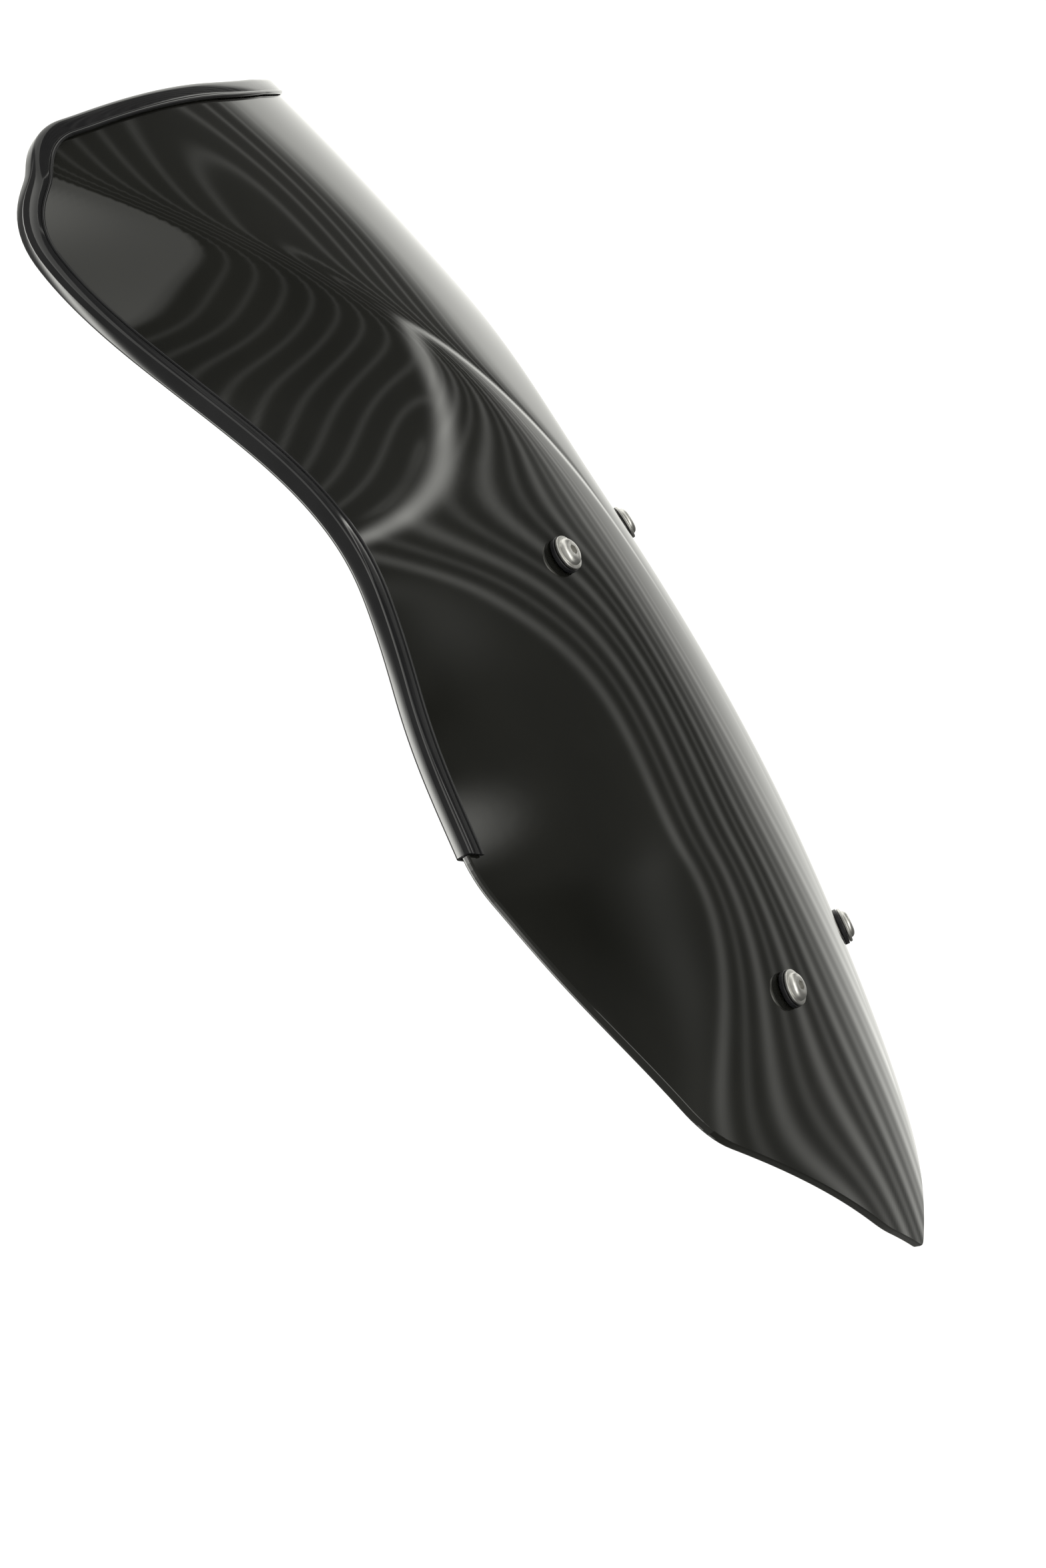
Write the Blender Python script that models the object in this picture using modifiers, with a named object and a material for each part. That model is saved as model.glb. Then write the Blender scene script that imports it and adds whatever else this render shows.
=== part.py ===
"""Motorcycle windshield screen: one thermoformed acrylic sheet with a push-on edge trim and four screw fixings.

Frame: metres, +Z up, the front faces -Y and the rider sits on the +Y side. The screen is symmetric about X = 0,
and the rider's left is +X. The origin is the middle of the four holes, where the bike's bracket holds the screen.
The outline, the sections and the holes are set out in millimetres from the tip of the nose.
"""

import math

import bmesh
import bpy
import numpy as np
from mathutils import Matrix, Vector

MM = 0.001
GAP = 0.3  # clearance between touching parts, mm

# The sheet. Lengths in mm.
NOSE = (0.0, -72.0, -157.0)  # the tip of the nose, seen from the middle of the four holes
PANE_THICKNESS = 3.0
# The front face: a centre line that leans back ever more, a shallow arch and two folds that part towards the top.
LEAN = (12.5, 45)  # the centre line's angle from upright at the nose and at LEAN_HEIGHT, degrees
LEAN_HEIGHT = 350
ARCH = (2.0, 0.5, 5.0)  # curvature of the arch at the nose, the waist and the top, 1/m
ARCH_WAIST = (180, 215)  # heights between which the arch is flattest
ARCH_TOP = 345
FOLD = (2, 27, 15)  # angle of the folds at the nose, the waist and the top, degrees
FOLD_WAIST = 135
FOLD_TOP = 280
SOFTNESS = (150, 10)  # how far a fold is rounded off at the nose and at SOFTNESS_TOP
SOFTNESS_TOP = 300
CREASE_START = 160  # height from which the two creases part
CREASE_REACH = 200  # height above the start at which they are as far apart as they have risen
CREASE_POWER = 3.3
# Right half of the outline, seen from the front: x, z and the radius that rounds each corner.
OUTLINE = (
    (0, -2, 12),
    (45, 13, 150),
    (145, 60, 24),
    (175, 140, 25),
    (160, 205, 150),
    (155, 270, 300),
    (160, 352, 38),
    (80, 368, 400),
    (0, 369, 0),
)
LOWER_CORNER = 2
UPPER_CORNER = 6
ARC_POINTS = 12
COLUMNS = 12  # mesh columns in each half
BARE_ROWS = 9  # mesh rows beside the bare edge
TRIM_ROWS = 24  # mesh rows beside the trimmed edge
BORDER = 7.0  # width of the mesh strip along the edge

# The push-on trim, a U-section over the edge.
TRIM_END_HEIGHT = 147.0
TRIM_LEG = 5.2
TRIM_WALL = 1.0
TRIM_CLEARANCE = 0.45  # between the sheet and the slot
TRIM_NOSE = 1.7
NOSE_STEPS = 6

# The four fixings: an M5 flanged button-head screw, a nylon washer and a rubber well nut with a brass insert.
FIXINGS = {"upper": (55, 224), "lower": (63, 91)}  # x and height of the right-hand hole
SIDES = {"left": 1, "right": -1}
HOLE_RADIUS = 3.5
WASHER_RADIUS = 6.2
WASHER_THICKNESS = 1.5
BORE_RADIUS = 2.8
FLANGE_RADIUS = 5.9
FLANGE_THICKNESS = 1.0
DOME_RADIUS = 4.7
HEAD_HEIGHT = 2.75
SOCKET_WIDTH = 3.0
SOCKET_DEPTH = 1.6
SHANK_RADIUS = 2.45
SCREW_LENGTH = 20.0
TIP_CHAMFER = 0.6
NUT_FLANGE_RADIUS = 8.0
NUT_FLANGE_THICKNESS = 1.7
NUT_RADIUS = 4.8
NUT_LENGTH = 14.0
INSERT_RADIUS = 3.5
INSERT_LENGTH = 7.0
INSERT_FLANGE_RADIUS = 4.6
INSERT_FLANGE_THICKNESS = 1.0
TURNED_STEPS = 24

# Heights of the fixing's parts above the front face, along the screw's axis.
WASHER_BASE = GAP + 0.1
HEAD_BASE = WASHER_BASE + WASHER_THICKNESS + GAP
NUT_TOP = -PANE_THICKNESS - GAP - 0.1
NUT_SEAT = NUT_TOP - NUT_FLANGE_THICKNESS
NUT_END = NUT_TOP - NUT_LENGTH
INSERT_SEAT = NUT_END - GAP

MATERIALS = {
    # name: colour, roughness, metallic
    "smoked_acrylic": ((0.012, 0.012, 0.011), 0.04, 0.0),
    "trim_pvc": ((0.010, 0.010, 0.010), 0.18, 0.0),
    "stainless": ((0.62, 0.61, 0.59), 0.28, 1.0),
    "nylon": ((0.015, 0.015, 0.016), 0.45, 0.0),
    "rubber": ((0.020, 0.020, 0.020), 0.80, 0.0),
    "brass": ((0.72, 0.52, 0.22), 0.30, 1.0),
}


def clear_scene():
    for thing in list(bpy.data.objects):
        bpy.data.objects.remove(thing, do_unlink=True)


def new_collection(name):
    collection = bpy.data.collections.new(name)
    bpy.context.scene.collection.children.link(collection)
    return collection


def make_material(name):
    colour, roughness, metallic = MATERIALS[name]
    material = bpy.data.materials.new(name)
    material.use_nodes = True
    shader = material.node_tree.nodes["Principled BSDF"]
    shader.inputs["Base Color"].default_value = (*colour, 1.0)
    shader.inputs["Roughness"].default_value = roughness
    shader.inputs["Metallic"].default_value = metallic
    return material


def ease(at, start, end):
    """Rises from 0 at the start to 1 at the end with continuous curvature."""
    share = np.clip((at - start) / (end - start), 0, 1)
    return share**3 * (10 - 15 * share + 6 * share**2)


def centre_line(z):
    """How far back the centre line is. Its angle from upright grows evenly with the height."""
    low, high = np.radians(LEAN)
    bend = (high - low) / LEAN_HEIGHT
    return np.log(np.cos(low) / np.cos(low + bend * z)) / bend


def arch_curvature(z):
    nose, waist, top = ARCH
    return nose + (waist - nose) * ease(z, 0, ARCH_WAIST[0]) + (top - waist) * ease(z, ARCH_WAIST[1], ARCH_TOP)


def fold_slope(z):
    nose, waist, top = FOLD
    angle = nose + (waist - nose) * ease(z, 0, FOLD_WAIST) + (top - waist) * ease(z, FOLD_WAIST, FOLD_TOP)
    return np.tan(np.radians(angle))


def fold_softness(z):
    nose, top = SOFTNESS
    return nose + (top - nose) * ease(z, 0, SOFTNESS_TOP)


def crease_distance(z):
    """Distance of each crease from the centre line."""
    return CREASE_REACH * (np.maximum(z - CREASE_START, 0) / CREASE_REACH) ** CREASE_POWER


def front_y(x, z):
    """How far back the front face lies, in mm: the leaning centre line, the arch and the two soft folds."""
    softness = fold_softness(z)
    crease = crease_distance(z)
    folds = np.hypot(x - crease, softness) + np.hypot(x + crease, softness)
    rise = folds / 2 - np.hypot(crease, softness)
    return centre_line(z) + arch_curvature(z) * x * x * MM / 2 + fold_slope(z) * rise


def front_point(x, z):
    """The point of the front face at a distance across and a height from the nose."""
    return Vector((x, front_y(x, z), z)) + Vector(NOSE)


def front_slopes(x, z):
    step = 0.5
    across = (front_y(x + step, z) - front_y(x - step, z)) / (2 * step)
    upward = (front_y(x, z + step) - front_y(x, z - step)) / (2 * step)
    return across, upward


def front_normal(x, z):
    """Unit normal of the front face, pointing forwards and out."""
    across, upward = front_slopes(x, z)
    return Vector((across, -1.0, upward)).normalized()


def round_corner(before, corner, after, radius):
    """Points of the arc that rounds a corner of the outline."""
    corner = Vector(corner)
    inward = (Vector(before) - corner).normalized()
    onward = (Vector(after) - corner).normalized()
    half = inward.angle(onward) / 2
    centre = corner + (inward + onward).normalized() * radius / math.sin(half)
    start = corner + inward * radius / math.tan(half) - centre
    turn = (math.pi - 2 * half) * (1 if start.x * onward.y - start.y * onward.x > 0 else -1)
    points = []
    for step in range(ARC_POINTS + 1):
        angle = turn * step / ARC_POINTS
        cosine, sine = math.cos(angle), math.sin(angle)
        points.append(centre + Vector((cosine * start.x - sine * start.y, sine * start.x + cosine * start.y)))
    return points


def outline_runs():
    """The right half of the outline in three runs of (x, z) points: bottom edge, side and top edge.

    The runs meet in the middle of the two rounded corners.
    """
    nose_x, nose_z, nose_radius = OUTLINE[0]
    mirrored = (-OUTLINE[1][0], OUTLINE[1][1])
    nose = round_corner(mirrored, (nose_x, nose_z), OUTLINE[1][:2], nose_radius)
    run = nose[ARC_POINTS // 2 :]
    runs = []
    for index in range(1, len(OUTLINE) - 1):
        x, z, radius = OUTLINE[index]
        arc = round_corner(OUTLINE[index - 1][:2], (x, z), OUTLINE[index + 1][:2], radius)
        if index in (LOWER_CORNER, UPPER_CORNER):
            middle = ARC_POINTS // 2
            runs.append(run + arc[: middle + 1])
            run = arc[middle:]
        else:
            run = run + arc
    runs.append(run + [Vector(OUTLINE[-1][:2])])
    return runs


def spaced(points, lengths):
    """Points of a polyline at the given shares of its length."""
    steps = [0.0]
    for first, second in zip(points, points[1:]):
        steps.append(steps[-1] + (second - first).length)
    at = np.array(lengths) * steps[-1]
    xs = np.interp(at, steps, [point.x for point in points])
    zs = np.interp(at, steps, [point.y for point in points])
    return [Vector(pair) for pair in zip(xs, zs)]


def share_at_height(points, height):
    """Share of a polyline's length at which it first reaches a height."""
    total = sum((b - a).length for a, b in zip(points, points[1:]))
    length = 0.0
    for first, second in zip(points, points[1:]):
        if second.y >= height:
            part = (height - first.y) / (second.y - first.y)
            return (length + part * (second - first).length) / total
        length += (second - first).length
    return 1.0


def edge_points():
    """Evenly spaced outline points: bottom, side and top runs, each a list of (x, z)."""
    bottom, side, top = outline_runs()
    even = np.linspace(0, 1, COLUMNS + 1)
    trim_start = share_at_height(side, TRIM_END_HEIGHT)
    bare = np.linspace(0, trim_start, BARE_ROWS + 1)
    covered = np.linspace(trim_start, 1, TRIM_ROWS + 1)
    return spaced(bottom, even), spaced(side, np.concatenate([bare, covered[1:]])), spaced(top, even)


def inward_directions(points):
    """Unit (x, z) directions from each outline point towards the middle of the sheet."""
    directions = []
    for index in range(len(points)):
        along = points[min(index + 1, len(points) - 1)] - points[max(index - 1, 0)]
        directions.append(Vector((-along.y, along.x)).normalized())
    directions[0] = Vector((0, 1))
    directions[-1] = Vector((0, -1))
    return directions


def inset(point, direction, distance):
    """The (x, z) point a distance inward along the front face."""
    across, upward = front_slopes(point.x, point.y)
    slope = across * direction.x + upward * direction.y
    return point + direction * distance / math.hypot(1, slope)


def coons(bottom, side, top):
    """Rows of (x, z) points that fill the half between the centre line and three edges."""
    low, high = bottom[0], top[-1]
    rows = []
    for j, right in enumerate(side):
        v = j / (len(side) - 1)
        left = low.lerp(high, v)
        row = []
        for i, below in enumerate(bottom):
            u = i / (len(bottom) - 1)
            above = top[-1 - i]
            corners = low.lerp(side[0], u).lerp(high.lerp(side[-1], u), v)
            row.append(below.lerp(above, v) + left.lerp(right, u) - corners)
        rows.append(row)
    return rows


def mesh_from(name, vertices, faces):
    mesh = bpy.data.meshes.new(name)
    mesh.from_pydata([tuple(vertex) for vertex in vertices], [], faces)
    mesh.update()
    return mesh


def add_object(name, mesh, collection, material=None):
    thing = bpy.data.objects.new(name, mesh)
    collection.objects.link(thing)
    if material:
        mesh.materials.append(material)
    return thing


def pane_half_mesh():
    """The front face of the right half: a filled grid with a border strip along the edge."""
    bottom, side, top = edge_points()
    loop = bottom[:-1] + side[:-1] + top
    directions = inward_directions(loop)
    inner = [inset(point, way, BORDER) for point, way in zip(loop, directions)]
    inner_bottom = inner[: COLUMNS + 1]
    inner_side = inner[COLUMNS : COLUMNS + len(side)]
    inner_top = inner[COLUMNS + len(side) - 1 :]
    rows = coons(inner_bottom, inner_side, inner_top)
    points = [point for row in rows for point in row] + loop
    width = COLUMNS + 1
    height = len(rows)
    faces = []
    for j in range(height - 1):
        for i in range(COLUMNS):
            corner = j * width + i
            faces.append((corner, corner + 1, corner + width + 1, corner + width))
    ring = list(range(width))
    ring += [j * width + COLUMNS for j in range(1, height)]
    ring += [(height - 1) * width + i for i in range(COLUMNS - 1, -1, -1)]
    outer = height * width
    for k in range(len(loop) - 1):
        faces.append((outer + k, outer + k + 1, ring[k + 1], ring[k]))
    vertices = [front_point(point.x, point.y) * MM for point in points]
    return mesh_from("screen_pane", vertices, faces)


def add_modifier(thing, name, kind, **settings):
    modifier = thing.modifiers.new(name, kind)
    for key, value in settings.items():
        setattr(modifier, key, value)
    return modifier


def add_cutter(name, mesh, collection, matrix):
    cutter = add_object(name, mesh, collection)
    cutter.matrix_world = matrix
    cutter.hide_render = True
    cutter.display_type = "WIRE"
    return cutter


def cut(thing, cutter):
    add_modifier(thing, "cut_" + cutter.name, "BOOLEAN", operation="DIFFERENCE", solver="EXACT", object=cutter)


def cylinder_mesh(name, radius, low, high, segments):
    """A closed cylinder along Z between two heights, in mm."""
    mesh = bpy.data.meshes.new(name)
    bm = bmesh.new()
    middle = Matrix.Translation((0, 0, (low + high) / 2 * MM))
    bmesh.ops.create_cone(
        bm, cap_ends=True, segments=segments, radius1=radius * MM, radius2=radius * MM,
        depth=(high - low) * MM, matrix=middle,
    )
    bm.to_mesh(mesh)
    bm.free()
    return mesh


def fixing_matrix(level, side):
    """Placement of a fixing: its origin on the front face, its +Z out along the screw's axis."""
    x, z = FIXINGS[level]
    x *= SIDES[side]
    normal = front_normal(x, z)
    turn = normal.to_track_quat("Z", "Y").to_matrix().to_4x4()
    return Matrix.Translation(front_point(x, z) * MM) @ turn


def build_pane(parts, cutters, material):
    pane = add_object("screen_pane", pane_half_mesh(), parts, material)
    add_modifier(pane, "mirror", "MIRROR", use_clip=True, merge_threshold=0.00005)
    add_modifier(pane, "sheet", "SOLIDIFY", thickness=PANE_THICKNESS * MM, offset=-1.0, use_even_offset=True)
    for level in FIXINGS:
        for side in SIDES:
            name = f"hole_{level}_{side}"
            mesh = cylinder_mesh(name, HOLE_RADIUS, -2 * PANE_THICKNESS, PANE_THICKNESS, TURNED_STEPS)
            cut(pane, add_cutter(name, mesh, cutters, fixing_matrix(level, side)))
    pane.data.shade_smooth()
    return pane


def trim_section():
    """The U-section as (outward, forward) points from the sheet's front edge, in order round the section."""
    front = TRIM_CLEARANCE
    rear = -PANE_THICKNESS - TRIM_CLEARANCE
    half = (front - rear) / 2 + TRIM_WALL
    points = [(-TRIM_LEG, front), (-TRIM_LEG, front + TRIM_WALL)]
    for step in range(NOSE_STEPS + 1):
        angle = math.pi * step / NOSE_STEPS
        points.append((TRIM_NOSE * math.sin(angle), (front + rear) / 2 + half * math.cos(angle)))
    points += [(-TRIM_LEG, rear - TRIM_WALL), (-TRIM_LEG, rear)]
    points += [(TRIM_CLEARANCE, rear), (TRIM_CLEARANCE, front)]
    return points


def trim_mesh():
    """The U-section swept along the edge from one end of the trim, over the top, to the other."""
    bottom, side, top = edge_points()
    loop = bottom[:-1] + side[:-1] + top
    directions = inward_directions(loop)
    first = COLUMNS + BARE_ROWS
    half = list(zip(loop, directions))[first:]
    mirrored = [(Vector((-point.x, point.y)), Vector((-way.x, way.y))) for point, way in half]
    stations = half + mirrored[-2::-1]
    edges = [front_point(point.x, point.y) for point, _ in stations]
    section = trim_section()
    vertices = []
    for index, (point, way) in enumerate(stations):
        edge = edges[index]
        along = edges[min(index + 1, len(edges) - 1)] - edges[max(index - 1, 0)]
        inner = inset(point, way, BORDER)
        outward = (edge - front_point(inner.x, inner.y)).normalized()
        forward = outward.cross(along).normalized()
        vertices += [(edge + outward * out + forward * front) * MM for out, front in section]
    count = len(section)
    faces = [tuple(range(count - 1, -1, -1))]
    for station in range(len(stations) - 1):
        low = station * count
        for k in range(count):
            after = (k + 1) % count
            faces.append((low + k, low + after, low + count + after, low + count + k))
    last = (len(stations) - 1) * count
    faces.append(tuple(range(last, last + count)))
    return mesh_from("edge_trim", vertices, faces)


def build_trim(parts, material):
    trim = add_object("edge_trim", trim_mesh(), parts, material)
    trim.data.shade_smooth()
    trim.data.set_sharp_from_angle(angle=math.radians(50))
    return trim


def turned(name, profile, collection, material, matrix):
    """A body turned about Z from (radius, height) points, listed down its outer side."""
    vertices = [(radius * MM, 0, height * MM) for radius, height in profile]
    closed = profile[0][0] > 0
    edges = [(k, k + 1) for k in range(len(profile) - 1)]
    if closed:
        edges.append((len(profile) - 1, 0))
    mesh = bpy.data.meshes.new(name)
    mesh.from_pydata(vertices, edges, [])
    thing = add_object(name, mesh, collection, material)
    thing.matrix_world = matrix
    add_modifier(
        thing, "turn", "SCREW", axis="Z", steps=TURNED_STEPS, render_steps=TURNED_STEPS,
        use_merge_vertices=True, merge_threshold=0.00001, use_smooth_shade=True,
    )
    return thing


def screw_profile():
    top = HEAD_BASE + HEAD_HEIGHT
    shoulder = HEAD_BASE + FLANGE_THICKNESS
    tip = HEAD_BASE - SCREW_LENGTH
    crown = 2.4
    profile = [(0, top), (crown, top)]
    for step in range(1, 5):
        angle = math.pi / 2 * step / 4
        radius = crown + (DOME_RADIUS - crown) * math.sin(angle)
        profile.append((radius, shoulder + (top - shoulder) * math.cos(angle)))
    profile += [(FLANGE_RADIUS - 0.3, shoulder - 0.2), (FLANGE_RADIUS, shoulder - 0.5), (FLANGE_RADIUS, HEAD_BASE)]
    profile += [(SHANK_RADIUS, HEAD_BASE), (SHANK_RADIUS, tip + TIP_CHAMFER), (SHANK_RADIUS - TIP_CHAMFER, tip)]
    profile.append((0, tip))
    return profile


def build_screw(name, parts, cutters, material, matrix):
    screw = turned(name, screw_profile(), parts, material, matrix)
    top = HEAD_BASE + HEAD_HEIGHT
    across_corners = SOCKET_WIDTH / math.cos(math.pi / 6)
    socket = cylinder_mesh(name + "_socket", across_corners / 2, top - SOCKET_DEPTH, top + 1, 6)
    cut(screw, add_cutter(name + "_socket", socket, cutters, matrix))
    return screw


def build_washer(name, parts, material, matrix):
    top = WASHER_BASE + WASHER_THICKNESS
    chamfer = 0.2
    profile = [
        (BORE_RADIUS, top),
        (WASHER_RADIUS - chamfer, top),
        (WASHER_RADIUS, top - chamfer),
        (WASHER_RADIUS, WASHER_BASE),
        (BORE_RADIUS, WASHER_BASE),
    ]
    return turned(name, profile, parts, material, matrix)


def build_well_nut(name, parts, material, matrix):
    pocket_radius = INSERT_RADIUS + GAP
    pocket_top = NUT_END + INSERT_LENGTH + GAP
    profile = [
        (BORE_RADIUS, NUT_TOP),
        (NUT_FLANGE_RADIUS, NUT_TOP),
        (NUT_FLANGE_RADIUS, NUT_SEAT),
        (NUT_RADIUS, NUT_SEAT),
        (NUT_RADIUS, NUT_END),
        (pocket_radius, NUT_END),
        (pocket_radius, pocket_top),
        (BORE_RADIUS, pocket_top),
    ]
    return turned(name, profile, parts, material, matrix)


def build_insert(name, parts, material, matrix):
    top = INSERT_SEAT + INSERT_LENGTH
    profile = [
        (BORE_RADIUS, top),
        (INSERT_RADIUS, top),
        (INSERT_RADIUS, INSERT_SEAT),
        (INSERT_FLANGE_RADIUS, INSERT_SEAT),
        (INSERT_FLANGE_RADIUS, INSERT_SEAT - INSERT_FLANGE_THICKNESS),
        (BORE_RADIUS, INSERT_SEAT - INSERT_FLANGE_THICKNESS),
    ]
    return turned(name, profile, parts, material, matrix)


def build():
    clear_scene()
    parts = new_collection("windshield_screen")
    cutters = new_collection("cutters")
    materials = {name: make_material(name) for name in MATERIALS}
    build_pane(parts, cutters, materials["smoked_acrylic"])
    build_trim(parts, materials["trim_pvc"])
    for level in FIXINGS:
        for side in SIDES:
            place = f"{level}_{side}"
            matrix = fixing_matrix(level, side)
            build_screw("screw_" + place, parts, cutters, materials["stainless"], matrix)
            build_washer("washer_" + place, parts, materials["nylon"], matrix)
            build_well_nut("well_nut_" + place, parts, materials["rubber"], matrix)
            build_insert("insert_" + place, parts, materials["brass"], matrix)


build()
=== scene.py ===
"""The looks of the windshield screen: fine meshes, materials, a pale studio and the camera.

Lengths in the constants are in millimetres, set out from the tip of the nose, and the meshes are in metres.
"""

import math

import bmesh
import bpy
import numpy as np
from mathutils import Matrix, Vector


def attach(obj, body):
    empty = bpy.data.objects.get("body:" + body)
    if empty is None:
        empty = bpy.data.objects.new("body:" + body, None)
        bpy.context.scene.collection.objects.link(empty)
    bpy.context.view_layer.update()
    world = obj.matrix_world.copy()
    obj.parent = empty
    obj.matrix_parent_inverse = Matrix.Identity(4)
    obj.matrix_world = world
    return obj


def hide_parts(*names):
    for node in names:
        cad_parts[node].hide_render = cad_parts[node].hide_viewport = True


MM = 0.001

# The sheet's shape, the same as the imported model's.
NOSE = (0.0, -72.0, -157.0)
PANE_THICKNESS = 3.0
# The front face: a centre line that leans back ever more, a shallow arch and two folds that part at the top.
LEAN = (12.5, 45)  # the centre line's angle from upright at the nose and at LEAN_HEIGHT, degrees
LEAN_HEIGHT = 350
ARCH = (2.0, 0.5, 5.0)  # curvature of the arch at the nose, the waist and the top, 1/m
ARCH_WAIST = (180, 215)  # heights between which the arch is flattest
ARCH_TOP = 345
FOLD = (2, 27, 15)  # angle of the folds at the nose, the waist and the top, degrees
FOLD_WAIST = 135
FOLD_TOP = 280
SOFTNESS = (150, 10)  # how far a fold is rounded off at the nose and at SOFTNESS_TOP
SOFTNESS_TOP = 300
CREASE_START = 160  # height from which the two creases part
CREASE_REACH = 200  # height above the start at which they are as far apart as they have risen
CREASE_POWER = 3.3
# Right half of the outline: x, z and the radius that rounds each corner.
OUTLINE = (
    (0, -2, 12),
    (45, 13, 150),
    (145, 60, 24),
    (175, 140, 25),
    (160, 205, 150),
    (155, 270, 300),
    (160, 352, 38),
    (80, 368, 400),
    (0, 369, 0),
)
LOWER_CORNER = 2
UPPER_CORNER = 6
ARC_POINTS = 32
COLUMNS = 64  # mesh columns in each half
ROWS = 150
EDGE_ROUND = 0.35  # how far the rounded edge stands out
FACE_COSINE = 0.9  # a polygon this square to the front face is part of the front or the rear
EDGE_COSINE = 0.2  # a stored normal this near to its polygon's is kept along the edge
EDGE_PROFILE = ((0.55, 0.04), (0.9, 0.14), (1.0, 0.30), (1.0, 0.70), (0.9, 0.86), (0.55, 0.96))

# The trim.
TRIM_END_HEIGHT = 147.0
TRIM_STATIONS = 170
TRIM_LEG = 5.2
TRIM_WALL = 1.0
TRIM_CLEARANCE = 0.45
TRIM_NOSE = 1.7
TRIM_BEAD = 0.45
NOSE_TAPER = 1.2
NOSE_ROUND = 1.5
LEG_ROUND = 0.3

# The fixings.
FIXINGS = {"upper": (55, 224), "lower": (63, 91)}
SIDES = {"left": 1, "right": -1}
GAP = 0.3
HOLE_RADIUS = 3.5
TURNED_STEPS = 72
WASHER_BASE = 0.4
WASHER_THICKNESS = 1.5
WASHER_RADIUS = 6.2
BORE_RADIUS = 2.8
HEAD_BASE = WASHER_BASE + WASHER_THICKNESS + GAP
HEAD_HEIGHT = 2.75
FLANGE_RADIUS = 5.9
FLANGE_THICKNESS = 1.0
DOME_RADIUS = 4.7
CROWN_RADIUS = 2.3
SOCKET_WIDTH = 3.0
SOCKET_DEPTH = 1.6
SHANK_RADIUS = 2.45
SCREW_LENGTH = 20.0
THREAD_PITCH = 0.8
THREAD_DEPTH = 0.4
NUT_TOP = -PANE_THICKNESS - 0.4
NUT_FLANGE_RADIUS = 8.0
NUT_SEAT = NUT_TOP - 1.7
NUT_RADIUS = 4.8
NUT_END = NUT_TOP - 14.0
INSERT_RADIUS = 3.5
INSERT_LENGTH = 7.0
INSERT_FLANGE_RADIUS = 4.6
INSERT_FLANGE_THICKNESS = 1.0

# The camera.
CAMERA_AZIMUTH = math.radians(10)  # turned forwards from the side
CAMERA_ELEVATION = math.radians(7.5)
CAMERA_DISTANCE = 1.9
FRAME_HEIGHT = 0.5043  # height of the view at the nose's distance
AIM_RIGHT = -0.1284  # the view's middle from the nose, along the picture's right and up
AIM_UP = 0.1469

# The studio.
WORLD_STRENGTH = 1.25
FLOOR_SIZE = 40.0  # half the floor's side, in metres
FLOOR_HEIGHT = -0.40
LIGHT_RADIUS = 60.0
DOME_STEP = 0.3  # degrees between the dome's points where the sheet mirrors it
ROOM_TINT = (1.0, 1.0, 0.95)
# What the glossy parts mirror, in degrees of azimuth and elevation: a pale wall ahead with bowed strip lights
# beside it, and above a bright seam a panel of even rings.
ROOM_DARK = 0.11
ROOM_BEHIND = 0.35
WALL_LIGHT = 1.2
WALL_EDGE = (-36, -20)
WALL_SIDE = (-15, -7)
WALL_BASE = (-4, 3)
BEHIND_EDGE = (50, 70)
STRIP_COUNT = 12
STRIP_FIRST = -47
STRIP_SPACING = 2.2
STRIP_KINDS = ((0.6, 0.5), (0.4, 0.25))  # width and brightness, in turn
STRIP_BOW = 0.035  # sideways bend per square degree of height
STRIP_MIDDLE = 18  # elevation at which the strips stand upright
SEAM_HEIGHT = 28
SEAM_CORNERS = (-80, -40)
SEAM_FALL = 0.024
SEAM_DROP = 1.2
SEAM_WIDTH = 0.9
SEAM_LIGHT = 2.0
SEAM_FADE = (4, 12)
RINGS_CENTRE = (-38, 30)
RINGS_STRETCH = 1.6
RING_SPACING = 2.7
RING_LIGHT = 0.25
RINGS_END = (26, 28)
RING_EDGE = 0.4
RING_RIPPLE = 0.5
# Direction, size and brightness of the light that lines the trim and of the one that faces the screws.
RIM_LIGHTS = (
    ((105, -15), (10, 45), 12.0),
    ((-112, 15), (14, 30), 2.0),
)
# Direction, size and gain of the soft lights and of the dark panel.
SOFT_LIGHTS = (
    ((-52, 20), (4, 2), 1.5),
    ((-60, 22), (4, 2), -0.6),
    ((-30, 48), (5, 4), 1.5),
)


def ease(at, start, end):
    """Rises from 0 at the start to 1 at the end with continuous curvature."""
    share = np.clip((at - start) / (end - start), 0, 1)
    return share**3 * (10 - 15 * share + 6 * share**2)


def centre_line(z):
    """How far back the centre line is. Its angle from upright grows evenly with the height."""
    low, high = np.radians(LEAN)
    bend = (high - low) / LEAN_HEIGHT
    return np.log(np.cos(low) / np.cos(low + bend * z)) / bend


def arch_curvature(z):
    nose, waist, top = ARCH
    return nose + (waist - nose) * ease(z, 0, ARCH_WAIST[0]) + (top - waist) * ease(z, ARCH_WAIST[1], ARCH_TOP)


def fold_slope(z):
    nose, waist, top = FOLD
    angle = nose + (waist - nose) * ease(z, 0, FOLD_WAIST) + (top - waist) * ease(z, FOLD_WAIST, FOLD_TOP)
    return np.tan(np.radians(angle))


def fold_softness(z):
    nose, top = SOFTNESS
    return nose + (top - nose) * ease(z, 0, SOFTNESS_TOP)


def crease_distance(z):
    """Distance of each crease from the centre line."""
    return CREASE_REACH * (np.maximum(z - CREASE_START, 0) / CREASE_REACH) ** CREASE_POWER


def front_y(x, z):
    """How far back the front face lies, in mm: the leaning centre line, the arch and the two soft folds."""
    softness = fold_softness(z)
    crease = crease_distance(z)
    folds = np.hypot(x - crease, softness) + np.hypot(x + crease, softness)
    rise = folds / 2 - np.hypot(crease, softness)
    return centre_line(z) + arch_curvature(z) * x * x * MM / 2 + fold_slope(z) * rise


def front_points(flat):
    """Points of the front face over an array of (x, z) pairs."""
    x, z = flat[..., 0], flat[..., 1]
    return np.stack([x, front_y(x, z), z], -1) + np.array(NOSE)


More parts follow.
